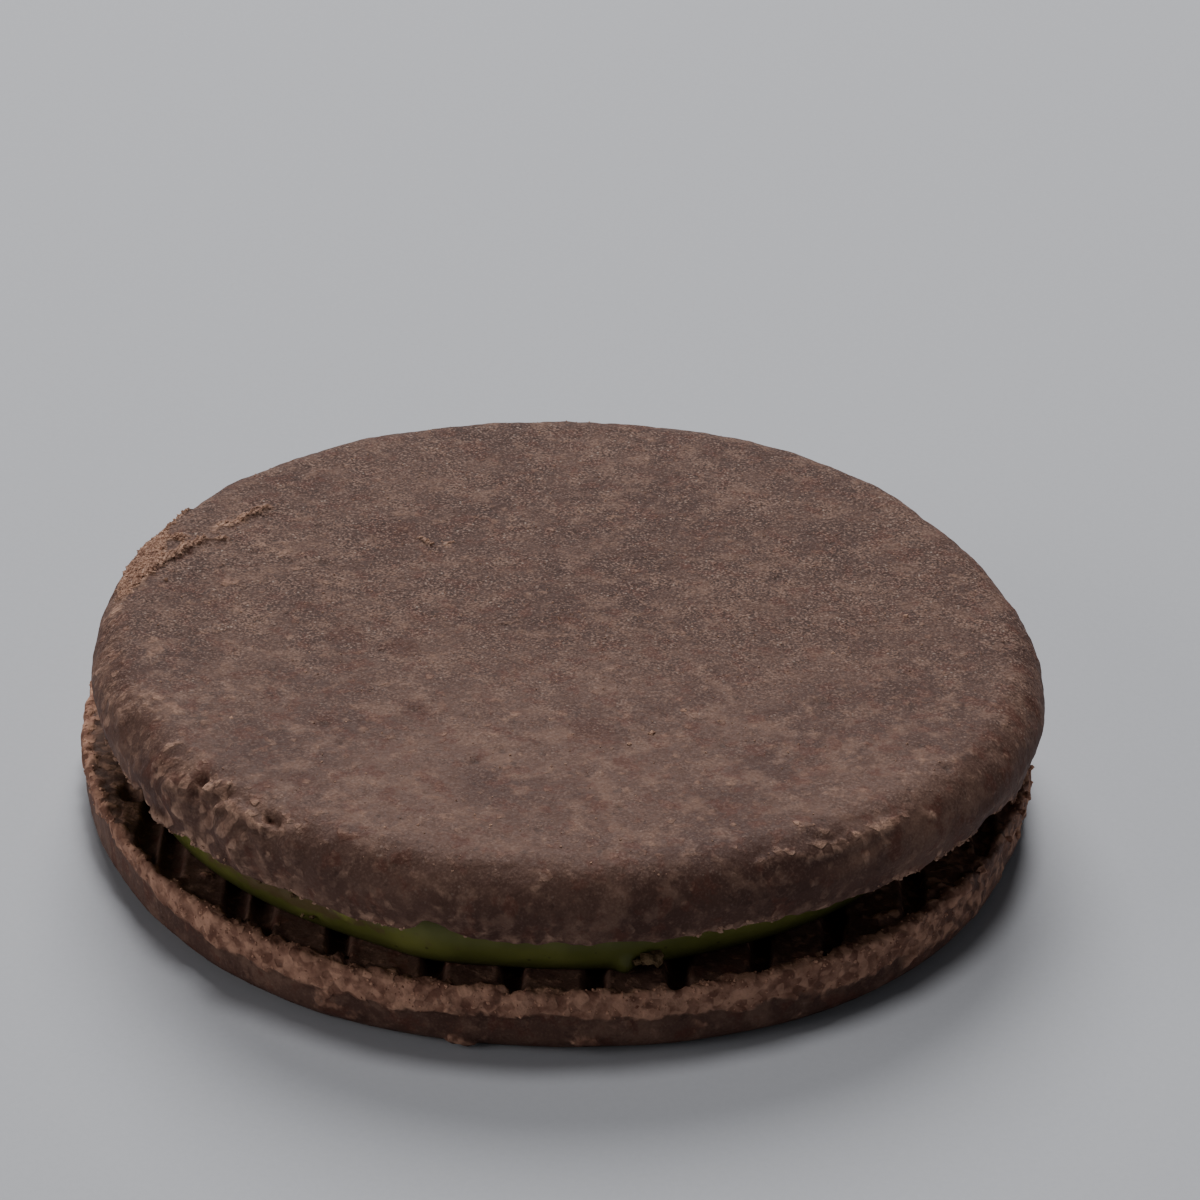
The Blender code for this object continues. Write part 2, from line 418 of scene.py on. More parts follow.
HELD_FOLDS = (
    ((-20.3, -20.2, 11.3), (-19.1, -20.5, 11.8), 0.62, 0.38, 0.62, 0.35),
    ((-21.0, -20.0, 10.9), (-20.6, -19.4, 11.6), 0.50, -0.55, 0.0, 0.0),
    ((-18.9, -22.3, 10.6), (-18.3, -23.1, 9.8), 1.10, 0.36, 0.36, 0.25),
    ((-17.8, -23.4, 9.9), (-18.3, -23.1, 9.0), 0.80, 0.28, 0.32, 0.25),
    ((-19.3, -21.7, 10.8), (-18.4, -21.9, 11.35), 0.52, 0.52, 0.70, 0.35),
    ((-18.4, -21.9, 11.35), (-17.8, -22.7, 11.1), 0.48, 0.54, 0.70, 0.35),
    ((-17.4, -22.9, 11.3), (-16.6, -23.8, 11.0), 0.48, 0.50, 0.75, 0.4),
    ((-17.1, -23.6, 10.6), (-16.6, -24.1, 10.2), 0.60, 0.26, 0.3, 0.2),
    ((-16.4, -23.3, 11.4), (-15.9, -23.7, 11.4), 0.50, -0.55, 0.0, 0.0),
    ((-15.0, -24.5, 11.2), (-14.6, -25.2, 10.6), 0.85, 0.30, 0.3, 0.5),
    ((-12.6, -25.7, 11.3), (-12.4, -26.0, 11.1), 0.48, 0.22, 0.5, 0.4),
    ((-20.8, -20.6, 7.9), (-19.2, -22.2, 7.9), 0.70, 0.10, 0.45, 0.35),
    ((-23.6, -17.3, 7.9), (-22.8, -18.5, 8.0), 0.50, 0.30, 0.9, 0.5),
    ((-23.5, -16.7, 11.3), (-22.8, -16.1, 11.8), 0.70, 0.14, 0.2, 0.4),
    ((-22.8, -18.2, 10.6), (-22.2, -18.7, 11.0), 0.60, 0.16, 0.2, 0.3),
    ((-26.5, -12.6, 8.2), (-25.4, -14.7, 8.1), 0.35, 0.12, 0.6, 0.5),
    ((-25.9, -13.4, 11.0), (-25.0, -14.6, 10.8), 1.50, -0.12, 0.0, 0.0),
    ((-26.6, -11.6, 11.0), (-27.0, -10.0, 11.2), 0.80, 0.08, 0.0, 0.4),
)
CHIPS = (
    ((0.1, -29.7, 9.6), (0.3, -29.7, 9.2), 0.70, 0.05, 0.0, 0.4),
    ((4.4, -29.3, 8.1), (5.6, -29.2, 8.3), 0.60, 0.06, 0.22, 0.1),
    ((7.6, -28.6, 7.9), (9.3, -28.2, 7.9), 0.50, 0.05, 0.4, 0.3),
    ((-6.4, -28.9, 9.2), (-4.0, -29.3, 8.3), 0.95, 0.10, 0.1, 0.4),
    ((27.0, -12.2, 10.9), (27.1, -12.6, 10.7), 0.36, 0.20, 1.0, 0.8),
    ((27.8, -11.2, 7.9), (27.9, -10.6, 8.4), 0.32, 0.18, 1.0, 0.8),
    ((26.2, -14.5, 10.3), (26.2, -13.9, 10.9), 0.28, 0.10, 0.8, 0.4),
    ((14.2, -22.9, 12.0), (16.1, -23.4, 11.8), 0.45, 0.08, 0.2, 0.4),
    ((17.9, -23.9, 10.0), (19.5, -22.5, 10.4), 0.48, 0.14, 0.2, 0.4),
    ((15.4, -25.2, 10.4), (19.3, -22.6, 10.2), 0.70, -0.10, 0.0, 0.0),
    ((12.0, -26.1, 11.3), (16.6, -24.0, 11.2), 0.70, 0.12, 0.36, 0.15),
    ((16.6, -24.0, 11.2), (20.4, -20.9, 11.3), 0.65, 0.12, 0.36, 0.15),
    ((21.7, -20.0, 10.9), (22.2, -19.7, 10.9), 0.50, 0.10, 0.3, 0.5),
    ((18.0, -22.5, 11.5), (18.6, -22.1, 11.5), 0.55, 0.06, 0.2, 0.3),
)
SMEARS = (
    ((-19.6, 9.2, 12.1), (-17.8, 8.2, 12.1), 1.50, 0.03, 0.1, 0.42),
    ((-21.6, 3.9, 12.1), (-20.6, 3.7, 12.1), 0.95, 0.03, 0.45, 0.24),
    ((-22.2, -2.6, 12.1), (-20.4, -1.6, 12.1), 0.50, 0.05, 0.1, 0.54),
    ((-19.9, 0.7, 12.1), (-19.0, -0.6, 12.1), 0.85, 0.03, 0.0, 0.42),
    ((-9.4, 10.5, 12.1), (-8.4, 9.5, 12.1), 0.32, 0.12, 0.6, 0.6),
    ((-8.4, 9.5, 12.1), (-7.3, 10.1, 12.1), 0.28, 0.10, 0.6, 0.6),
    ((16.3, -19.5, 12.1), (18.2, -19.5, 12.1), 1.05, 0.03, 0.0, 0.54),
    ((21.7, -16.0, 12.1), (23.6, -15.5, 12.0), 0.75, 0.03, 0.0, 0.42),
    ((-13.0, -22.3, 12.1), (-11.7, -22.6, 12.1), 0.80, 0.03, 0.0, 0.42),
    ((-25.2, -4.4, 12.0), (-24.6, -6.2, 12.0), 1.00, 0.04, 0.1, 0.45),
    ((-24.6, -11.0, 12.0), (-23.2, -12.4, 12.0), 1.20, 0.04, 0.1, 0.5),
    ((-20.4, -9.6, 12.1), (-19.4, -10.4, 12.1), 0.90, 0.03, 0.0, 0.4),
    ((-7.5, -9.6, 12.1), (-3.0, -10.6, 12.1), 2.20, 0.05, 0.0, 0.21),
    ((-2.0, -11.2, 12.1), (1.0, -11.8, 12.1), 1.60, 0.04, 0.0, 0.18),
    ((-4.5, 12.6, 12.1), (-1.0, 12.9, 12.1), 0.70, 0.03, 0.0, 0.3),
    ((1.0, 15.0, 12.1), (4.0, 15.4, 12.1), 0.60, 0.03, 0.0, 0.3),
)
print(len(TORN_STRIP), "strokes for the strip,", len(HELD_FOLDS), "for the folds")

# %% [markdown]
# The strokes are filed in a k-d tree, which finds the few near a point, so the long list costs little.
# Where strokes meet, the highest ridge and the deepest pit count, so a chain of them keeps its height.
# Hills added to the distance make every border ragged.

# %% File and read the marks
MARK_REACH = 4 * MM


def filed(rows):
    """Marks in metres, and a tree of their middles."""
    marks = []
    tree = kdtree.KDTree(len(rows))
    for index, (start, end, half, height, bare, pale) in enumerate(rows):
        start, end = Vector(start) * MM, Vector(end) * MM
        marks.append((start, end - start, half * MM, height * MM, bare, pale))
        tree.insert((start + end) / 2, index)
    tree.balance()
    return marks, tree


def marked(point, marks, tree):
    """Height, bare crumb and pale dust that the marks near a point give it."""
    raised = sunk = bare = pale = 0.0
    for _, index, _ in tree.find_range(point, MARK_REACH):
        start, run, half, mark_height, mark_bare, mark_pale = marks[index]
        along = min(1.0, max(0.0, (point - start).dot(run) / run.length_squared))
        off = (point - start - run * along).length / half + 0.45 * hills(point, 0.9 * MM, 3, 4.0)
        share = 1.0 - ease(off, 0.35, 1.05)
        raised = max(raised, share * mark_height)
        sunk = min(sunk, share * mark_height)
        bare = max(bare, share * mark_bare)
        pale = max(pale, share * mark_pale)
    return raised + sunk, bare, pale


upper_marks = filed(TORN_STRIP + HELD_FOLDS + CHIPS + SMEARS)
print(len(upper_marks[0]), "marks on the upper biscuit")

# %% [markdown]
# ## Air holes
# Small air holes open in the top while it bakes, and a few are larger. The small ones are drawn with a
# fixed seed, so the cookie is the same on every run.

# %% Holes in the top
# x, y, width
LARGE_HOLES = (
    (-16.1, 12.1, 0.45),
    (-15.4, 6.9, 0.60),
    (-20.0, 8.0, 0.35),
    (-13.9, -13.2, 0.60),
    (-4.7, -17.1, 0.50),
    (-3.2, -15.8, 0.35),
    (1.9, -18.2, 0.35),
    (16.2, -9.1, 0.60),
    (-8.5, -11.4, 0.35),
    (6.4, -10.9, 0.35),
    (-21.0, -14.1, 0.45),
    (23.1, -16.2, 0.35),
)
SMALL_HOLE_COUNT = 24
HOLE_FADE = 0.7
rng = random.Random(11)
holes = [(Vector((x, y, 0.0)) * MM, HOLE_FADE * width * MM) for x, y, width in LARGE_HOLES]
for _ in range(SMALL_HOLE_COUNT):
    distance = UPPER_RADIUS * 0.93 * math.sqrt(rng.random())
    turn = rng.uniform(0, math.tau)
    holes.append((placed(distance, turn, 0.0), rng.uniform(0.16, 0.26) * MM))
hole_tree = kdtree.KDTree(len(holes))
for index, (spot, _) in enumerate(holes):
    hole_tree.insert(spot, index)
hole_tree.balance()


def hole_depth(point):
    """How deep into the nearest air hole a place on the top lies, from 0 to 1."""
    _, index, distance = hole_tree.find((point.x, point.y, 0.0))
    uneven = 1 + 0.7 * hills(point, 0.5 * MM, 1, 2.0)
    return bump(distance * uneven, holes[index][1])


print(len(holes), "holes")

# %% [markdown]
# ## The print of the baking mat
# The flat side of each biscuit baked on a mat whose threads pressed long slots into it, with thin lips
# beside them. The slots run straight from front to back at slightly uneven distances, and two of the
# threads on the left lay doubled.

# %% Slots and lips
SLOT_PLACES = (-24.55, -22.9, -18.6, -16.95, -12.3, -6.6, -2.0, 2.75, 7.55, 12.4, 16.7, 21.6, 26.3)
SLOT_WIDTH = 1.3 * MM
SLOT_DEPTH = 0.8 * MM
FACE_SINK = 0.2 * MM


def mat_mark(point, reach):
    """Depth of the mat's print on a flat side, the share of slot and the share of lip."""
    reach += 0.8 * MM * hills(point, 1.4 * MM, 3, 61.0)
    waver = 0.07 * MM * hills(Vector((point.x, point.y, 0.0)), 4 * MM, 1, 51.0)
    off = min(abs(point.x + waver - place * MM) for place in SLOT_PLACES)
    inside = 1 - ease(point.xy.length + 3 * waver, reach - 0.35 * MM, reach)
    slot = inside * (1 - ease(off, SLOT_WIDTH / 2 - 0.16 * MM, SLOT_WIDTH / 2 + 0.10 * MM))
    lip = inside * bump(off - SLOT_WIDTH / 2 - 0.22 * MM, 0.16 * MM)
    deep = SLOT_DEPTH * (1 - 0.35 * ease(point.x, -14 * MM, -17 * MM))
    return inside * FACE_SINK + slot * deep - lip * 0.3 * FACE_SINK, slot, lip


print(len(SLOT_PLACES), "slots")

# %% [markdown]
# ## The upper biscuit
# Its section runs from the middle of the top over the domed edge, down the wall and back under the flat
# side. First every point goes to the hand-cut outline and takes the dents of the wall. Then the relief is
# added along the normals, and the shares of bare crumb, pale dust and painted pit shade are stored as
# attributes.

# %% Outline and dents of the upper biscuit
UPPER_STEPS = 800
UPPER_ROUNDING = 2.95 * MM
WALL_LEAN = 0.3 * MM
EDGE_ROUNDING = 0.35 * MM
# direction, height on the wall, width, depth
UPPER_DENTS = (
    (-134, 9.7 * MM, 1.5 * MM, 0.50 * MM),
    (-121, 9.2 * MM, 1.9 * MM, 0.35 * MM),
    (-152, 10.2 * MM, 2.2 * MM, 0.3 * MM),
    (35, 9.8 * MM, 2.4 * MM, 0.35 * MM),
    (112, 9.4 * MM, 2.0 * MM, 0.3 * MM),
)
# direction, width, depth
FOOT_NICKS = (
    (-103.5, 1.5 * MM, 0.75 * MM),
    (-90, 0.9 * MM, 0.35 * MM),
    (-148.3, 0.7 * MM, 0.5 * MM),
    (-31, 1.2 * MM, 0.4 * MM),
    (97, 2.0 * MM, 0.5 * MM),
)
SWELL_HEIGHT = 0.12 * MM
FOOT_SAG = 0.30 * MM


def upper_section():
    """Half a section, from the middle of the top round to the middle of the printed side."""
    foot = (UPPER_RADIUS - WALL_LEAN - EDGE_ROUNDING, UPPER_FOOT + EDGE_ROUNDING)
    shoulder = UPPER_RADIUS - UPPER_ROUNDING
    fine_from, fine_to = 14 * MM, 25.5 * MM
    section = straight((0.0, UPPER_TOP), (fine_from, UPPER_TOP), 0.55 * MM)
    section += straight((fine_from, UPPER_TOP), (shoulder, UPPER_TOP), 0.30 * MM)
    section += arc(shoulder, UPPER_TOP - UPPER_ROUNDING, UPPER_ROUNDING, 90, 0, 0.22 * MM)
    section += straight(section.pop(), (foot[0] + EDGE_ROUNDING, foot[1]), 0.20 * MM)
    section += arc(*foot, EDGE_ROUNDING, 0, -90, 0.14 * MM)
    section += straight(section.pop(), (fine_to, UPPER_FOOT), 0.35 * MM)
    return section + straight((fine_to, UPPER_FOOT), (0.0, UPPER_FOOT), 3 * MM) + [(0.0, UPPER_FOOT)]


def dented(distance, angle, height, dents, radius):
    """A radius after the dents of the wall have been taken off."""
    edge = min(1.0, distance / (0.9 * radius)) ** 4
    for turn, middle, width, depth in dents:
        distance -= edge * depth * beside(angle, turn, radius, width) * bump(height - middle, width)
    return distance


def settle_upper(point):
    """Move a point of the blank to the uneven outline, dents and swells of the baked biscuit."""
    distance, angle = polar(point)
    wide = distance * (1 + outline(angle, UPPER_LOBES) / UPPER_RADIUS)
    wide = dented(wide, angle, point.z, UPPER_DENTS, UPPER_RADIUS)
    rise = 0.0
    if distance > 27 * MM:
        foot_share = 1 - ease(point.z, UPPER_FOOT + 0.4 * MM, UPPER_FOOT + 1.8 * MM)
        front = beside(angle, -88, UPPER_RADIUS, 16 * MM)
        rise -= foot_share * FOOT_SAG * front * ease(distance, 27 * MM, 29 * MM)
        rise += foot_share * 0.18 * MM * hills(Vector((point.x, point.y, 0.0)), 1.3 * MM, 3, 44.0)
        for turn, width, depth in FOOT_NICKS:
            rise += foot_share * depth * beside(angle, turn, UPPER_RADIUS, width)
    place = placed(wide, angle, point.z + rise) + UPPER_CENTRE
    share = max(0.0, (point.z - UPPER_FOOT) / (UPPER_TOP - UPPER_FOOT)) ** 2
    wave = math.sin(place.x / (8.5 * MM) + 0.8) * math.cos(place.y / (11 * MM) - 0.4)
    place.z += SWELL_HEIGHT * (wave - 1) * share
    return place


print("section of", len(upper_section()), "points")

# %% [markdown]
# The relief is layered from broad to fine. The ragged foot is where the biscuit was lifted from the mat:
# its lowest half millimetre is bare crumb. Where it was held, at the left of the front, the wall is
# lumpy, and all along the left it is rubbed half bare.

# %% Relief of the upper biscuit
UPPER_PRINT_REACH = 28.4 * MM
HELD_TURN = -134
RUBBED_TURN = -168
HOLE_DEPTH = 0.16 * MM


def upper_relief(point, normal):
    """Height of the fine relief at a point, with its shares of bare crumb, pale dust and painted pit shade.
    """
    distance = (point - UPPER_CENTRE).xy.length
    _, angle = polar(point)
    if normal.z < -0.7 and distance < 29 * MM:
        depth, slot, lip = mat_mark(point, UPPER_PRINT_REACH)
        return -0.7 * depth, 0.4 * lip, 0.0, 0.0
    top = ease(normal.z, 0.5, 0.95)
    wall = ease(distance, 26.5 * MM, 29.3 * MM)
    foot_line = UPPER_FOOT + 0.30 * MM * hills(point, 2.2 * MM, 2)
    foot = 1 - ease(point.z, foot_line + 0.05 * MM, foot_line + 0.95 * MM)
    foot *= ease(distance, 28.6 * MM, 29.4 * MM) * (0.4 + 0.35 * hills(point, 3 * MM, 2, 31.0))
    height = 0.06 * MM * hills(point, 5 * MM, 2) + 0.03 * MM * hills(point, 1.3 * MM, 3, 7.0)
    height += wall * MM * (0.10 * hills(point, 2.6 * MM, 2, 3.0) + 0.04 * hills(point, 0.9 * MM, 2, 8.0))
    rise, bare, pale = marked(point, *upper_marks)
    height += rise + bare * 0.16 * MM * (cobbles(point, 0.6 * MM) - 0.45)
    held = wall * beside(angle, HELD_TURN, UPPER_RADIUS, 9 * MM)
    lumps = cobbles(point, 1.5 * MM, 23.0)
    height += held * MM * (0.24 * lumps + 0.08 * cobbles(point, 0.7 * MM) - 0.16)
    rubbed = wall * beside(angle, RUBBED_TURN, UPPER_RADIUS, 14 * MM)
    bare = max(bare, held * (0.24 + 0.18 * lumps), rubbed * (0.22 + 0.25 * hills(point, 2.0 * MM, 2, 24.0)))
    # The pit share deepens the air holes and also paints shade into them.
    pit_shade = top * hole_depth(point)
    height -= HOLE_DEPTH * pit_shade
    height += foot * MM * (0.24 * cobbles(point, 0.7 * MM) - 0.11 + 0.16 * hills(point, 1.5 * MM, 2, 6.0))
    height += 0.02 * MM * hills(point, 0.6 * MM, 1, 13.0)
    # The last share is painted shade, in the air holes and under the sunk marks.
    return height, max(bare, foot), pale, max(pit_shade, ease(-rise, 0.15 * MM, 0.5 * MM) * 0.4)


def dressed(bm, settle, relief):
    """Settle every point of a blank, add its relief along the normals, and store the shares."""
    layers = [bm.verts.layers.float.new(name) for name in ("crumb", "pale", "pit_shade")]
    for vertex in bm.verts:
        vertex.co = settle(vertex.co)
    bm.normal_update()
    for vertex in bm.verts:
        height, *shares = relief(vertex.co, vertex.normal)
        vertex.co += vertex.normal * height
        for layer, share in zip(layers, shares):
            vertex[layer] = share
    bm.normal_update()
    return bm


upper_blank = dressed(spun(upper_section(), UPPER_STEPS), settle_upper, upper_relief)
print("upper biscuit:", len(upper_blank.verts), "points")

# %% [markdown]
# ## The lower biscuit
# It is the same kind of biscuit turned over, so its printed flat side faces up and shows round the cream.
# Outside the slots stands a rim of bare crumb, and below it the dark skin of the domed edge curves in to
# the table. The slots are relief on the same skin, so the rim can crumble into them.

# %% Outline and marks of the lower biscuit
LOWER_STEPS = 900
LOWER_ROUNDING = 1.3 * MM
LOWER_DENTS = (
    (-20, 2.6 * MM, 2.2 * MM, 0.3 * MM),
    (68, 2.4 * MM, 2.4 * MM, 0.35 * MM),
    (160, 2.7 * MM, 2.0 * MM, 0.3 * MM),
)
LOWER_CHIPS = (
    ((-2.0, -30.0, 3.6), (-1.7, -30.0, 3.0), 0.32, 0.10, 0.6, 1.0),
    ((-5.4, -29.2, 0.7), (-4.5, -29.3, 0.5), 0.60, 0.30, 0.60, 0.3),
    ((1.8, -29.7, 1.0), (2.8, -29.6, 0.9), 0.50, 0.18, 0.60, 0.2),
    ((8.8, -28.7, 1.9), (9.2, -28.6, 1.7), 0.40, 0.14, 0.45, 0.2),
    ((-13.2, -26.9, 1.8), (-11.0, -27.6, 1.4), 0.80, 0.15, 0.45, 0.1),
    ((20.6, -21.6, 1.6), (21.3, -21.0, 2.0), 0.60, 0.35, 1.0, 0.0),
    ((23.6, -18.2, 4.1), (24.9, -16.9, 4.2), 0.65, 0.30, 1.0, 0.2),
    ((19.5, -20.6, 4.1), (20.4, -20.0, 4.1), 0.60, 0.30, 0.9, 0.0),
    ((22.6, -17.6, 4.1), (23.4, -17.0, 4.1), 0.50, 0.30, 0.9, 0.0),
    ((-25.9, -9.6, 4.1), (-26.3, -9.0, 4.1), 0.70, -0.60, 0.0, 0.0),
    ((-27.4, -10.9, 4.2), (-26.9, -11.1, 4.2), 0.40, 0.20, 1.0, 0.4),
    ((-20.8, -18.0, 4.1), (-20.3, -18.1, 4.1), 0.35, 0.22, 1.0, 0.3),
)
lower_marks = filed(LOWER_CHIPS)


def lower_section():
    """Half a section, from the middle of the printed side round to the middle of the base."""
    lip = (LOWER_RADIUS - EDGE_ROUNDING, LOWER_TOP - EDGE_ROUNDING)
    face_start = 25.2 * MM
    section = straight((0.0, LOWER_TOP), (face_start, LOWER_TOP), 4 * MM)
    section += straight((face_start, LOWER_TOP), (lip[0], LOWER_TOP), 0.19 * MM)
    section += arc(*lip, EDGE_ROUNDING, 90, 0, 0.15 * MM)
    section += straight(section.pop(), (LOWER_RADIUS, LOWER_ROUNDING), 0.19 * MM)
    dome = (LOWER_RADIUS - LOWER_ROUNDING, LOWER_ROUNDING)
    section += arc(*dome, LOWER_ROUNDING, 0, -90, 0.24 * MM)
    return section + straight(section.pop(), (0.0, 0.0), 0.9 * MM) + [(0.0, 0.0)]


def settle_lower(point):
    """Move a point of the blank to the outline and dents of the lower biscuit."""
    distance, angle = polar(point)
    wide = distance * (1 + outline(angle, LOWER_LOBES) / LOWER_RADIUS)
    wide = dented(wide, angle, point.z, LOWER_DENTS, LOWER_RADIUS)
    return placed(wide, angle, point.z)


print("section of", len(lower_section()), "points,", len(LOWER_CHIPS), "marks")

# %% [markdown]
# The rim is the roughest place on the whole cookie: packed crumbs of many sizes, so cobbles of two
# widths and fine hills are added up. Where the dark skin begins, the line wavers.

# %% Relief of the lower biscuit
LOWER_PRINT_REACH = 29.45 * MM
SKIN_HEIGHT_MM = 2.35


def crumbly(point):
    """Relief of packed crumbs of several sizes, about -0.2 to 0.3 mm."""
    large = cobbles(point, 1.5 * MM, 5.0) - 0.5
    middle = cobbles(point, 0.8 * MM, 2.0) - 0.5
    small = hills(point, 0.55 * MM, 3, 9.0)
    return MM * (0.26 * large + 0.16 * middle + 0.09 * small + 0.12 * hills(point, 2.4 * MM, 3, 9.0))


def printed_side(point, rise, bare, pale):
    """Relief and shares of the flat side: slots of the mat inside, a rim of packed crumbs outside."""
    distance, angle = polar(point)
    left = ease(point.x, -24.8 * MM, -26.2 * MM)
    right = beside(angle, -30, LOWER_RADIUS, 9 * MM)
    depth, slot, _ = mat_mark(point, LOWER_PRINT_REACH)
    slot *= 1 - left
    depth = depth * (1 - left) + left * 0.1 * MM
    rim = ease(distance + 0.5 * MM * hills(point, 1.1 * MM, 3), 28.9 * MM, 29.6 * MM)
    rough = crumbly(point) * (0.14 + 0.7 * rim + 0.4 * left + 0.6 * right)
    clods = 0.05 + 0.20 * hills(point, 0.9 * MM, 3, 19.0)
    height = rise - depth + (1 - slot) * rough + rim * clods * MM
    # On the right the rim keeps less bare crumb and reads darker: partly its own raw crumb, partly painted
    # shade.
    broken = max(rim * (1 - 0.5 * right), 0.35 * left, 0.4 * right, 0.10, bare)
    dust = (0.16 + 0.28 * max(rim, left)) * (1 - slot)
    # The last share is painted shade on the slot floors.
    return height, broken, max(pale, dust), 0.3 * ease(slot, 0.0, 0.3)


def domed_edge(point, rise, bare, pale):
    """Relief and shares of the side: bare crumb above, dark skin below a wavering line."""
    _, angle = polar(point)
    front = beside(angle, -86, LOWER_RADIUS, 9 * MM)
    right = beside(angle, -27, LOWER_RADIUS, 9 * MM)
    left = beside(angle, -158, LOWER_RADIUS, 10 * MM)
    skin_line = (SKIN_HEIGHT_MM + 0.25 * front - 1.3 * right + 0.8 * left) * MM
    skin_line += MM * (0.45 * hills(point, 2.6 * MM, 4, 17.0) + 0.30 * hills(point, 0.9 * MM, 3, 18.0))
    band = ease(point.z, skin_line - 0.2 * MM, skin_line + 0.3 * MM)
    skin = (1 - band) * ease(point.z, 0.0, 0.3 * MM)
    height = rise + band * (0.04 * MM + 0.9 * crumbly(point))
    height += skin * MM * (0.07 * hills(point, 3.0 * MM, 2) + 0.02 * hills(point, 0.8 * MM, 2) - 0.10)
    height += skin * bare * 0.3 * MM * (cobbles(point, 0.6 * MM) - 0.4)
    # On the right the band keeps less bare crumb and reads darker: partly its own raw crumb, partly painted
    # shade.
    return height, max(band * (1 - 0.6 * right), bare), pale, 0.0


def lower_relief(point, normal):
    """Height of the relief on the lower biscuit, with its shares of crumb, dust and painted shade in the
    slots.
    """
    side = printed_side if normal.z > 0.7 and point.xy.length < LOWER_RADIUS - 0.2 * MM else domed_edge
    return side(point, *marked(point, *lower_marks))


lower_blank = dressed(spun(lower_section(), LOWER_STEPS), settle_lower, lower_relief)
print("lower biscuit:", len(lower_blank.verts), "points")

# %% [markdown]
# ## The cream
# Piped cream is pressed flat between the biscuits until its side bulges a little. It is spun as they are,
# but only its outline, slow waves and a few swells shape it. It reaches just into both biscuits, as the
# real cream sticks to them, and one small drip hangs at the front.

# %% Model the cream
CREAM_STEPS = 720
CREAM_SIDE_STEPS = 20
CREAM_BULGE = 0.45 * MM
CREAM_DRAW = 0.45 * MM
# direction, width, height
CREAM_SWELLS = (
    (-104, 2.6 * MM, 0.35 * MM),
    (-80, 2.4 * MM, 0.25 * MM),
    (64, 3.0 * MM, 0.4 * MM),
)
DRIP_TURN = -78.8
RUBBED_IN_TURN = -124
# x, y, z, width
TEA_SPOTS = ((-11.9, -25.1, 6.1, 0.8), (-12.6, -24.8, 6.3, 0.5))
cream_top = UPPER_FOOT + 0.12 * MM
cream_bottom = LOWER_TOP - 0.12 * MM


def cream_section():
    """Half a section, from the middle of the top round to the middle of the base."""
    half = (cream_top - cream_bottom) / 2
    middle = (cream_top + cream_bottom) / 2
    side = []
    for i in range(CREAM_SIDE_STEPS + 1):
        z = cream_top - 2 * half * i / CREAM_SIDE_STEPS
        up = (z - middle) / half
        side.append((CREAM_RADIUS + CREAM_BULGE * (1 - up**2) - CREAM_DRAW * (1 - up) / 2, z))
    lid = straight((0.0, cream_top), side[0], 5 * MM)
    base = straight(side[-1], (0.0, cream_bottom), 5 * MM)
    return lid + side + base[1:] + [(0.0, cream_bottom)]


def settle_cream(point):
    """Move a point of the blank to the pressed outline of the cream."""
    distance, angle = polar(point)
    edge = min(1.0, distance / CREAM_RADIUS) ** 4
    wide = distance * (1 + outline(angle, CREAM_LOBES) / CREAM_RADIUS)
    for turn, width, depth in CREAM_SWELLS:
        wide += edge * depth * beside(angle, turn, CREAM_RADIUS, width)
    low = 1 - ease(point.z, cream_bottom + 0.2 * MM, cream_bottom + 1.5 * MM)
    wide += edge * low * 0.7 * MM * beside(angle, DRIP_TURN, CREAM_RADIUS, 0.5 * MM)
    return placed(wide, angle, point.z) + CREAM_CENTRE


def cream_relief(point, normal):
    """Height of the waves on the cream, with its shares of rubbed crumb, tea and painted pit shade, which
    is 0 on the cream.
    """
    side = 1 - ease(abs(normal.z), 0.6, 0.9)
    height = side * MM * (0.07 * hills(point, 4 * MM) + 0.025 * hills(point, 1.3 * MM, 2))
    tea = max(bump((point - Vector(spot) * MM).length, width * MM) for *spot, width in TEA_SPOTS)
    left = beside(polar(point)[1], RUBBED_IN_TURN, CREAM_RADIUS, 7 * MM)
    rubbed = left * ease(point.z, 4.8 * MM, 6.0 * MM)
    return height + rubbed * 0.12 * MM * hills(point, 0.8 * MM, 3), rubbed, tea, 0.0


cream_blank = dressed(spun(cream_section(), CREAM_STEPS), settle_cream, cream_relief)
print("cream:", len(cream_blank.verts), "points")

# %% [markdown]
# ## Baked cocoa as a finish
# The skin of a cocoa biscuit is a dull brown, as gritty as sandpaper: pale grains stand close together
# with dark gaps between them, most of all on the far half of the top, and are rubbed down elsewhere.
# Blotches of a paler or redder brown lie where flour and crumb show through. The lower biscuit's crumb has
# tones of its own.

# %% Tones of cocoa and crumb
SKIN = colour(0.123, 0.065, 0.048)
SKIN_DARK = colour(0.076, 0.036, 0.027)
SKIN_PALE = colour(0.180, 0.100, 0.072)
REDDISH = colour(0.102, 0.038, 0.026)
BETWEEN_GRAINS = colour(0.040, 0.019, 0.014)
RED_BROWN = colour(0.080, 0.028, 0.018)
GRAIN = colour(0.290, 0.190, 0.148)
# Sugar grains, painted bright enough to be painted glints as well.
SUGAR_AND_GLINT = colour(0.440, 0.345, 0.290)
DUST = colour(0.270, 0.156, 0.110)
# Painted shade for air holes, sunk marks and slot floors.
PAINTED_PIT_SHADE = colour(0.045, 0.022, 0.016)
UPPER_CRUMB = (colour(0.220, 0.118, 0.083), colour(0.460, 0.280, 0.200))
LOWER_CRUMB = (colour(0.172, 0.076, 0.051), colour(0.500, 0.276, 0.188))
SMEARED_CRUMB = (colour(0.080, 0.050, 0.022), colour(0.200, 0.130, 0.070))
# x, y, z, width
RED_SPOTS = (
    (2.1, -13.1, 12.1, 1.3),
    (-14.7, -20.0, 12.1, 0.7),
    (-14.0, -12.9, 12.1, 0.9),
    (-13.4, -2.4, 12.1, 1.2),
    (-8.5, -11.2, 12.1, 1.1),
    (-9.9, -4.0, 12.1, 1.2),
    (-11.0, 11.1, 12.1, 1.6),
)


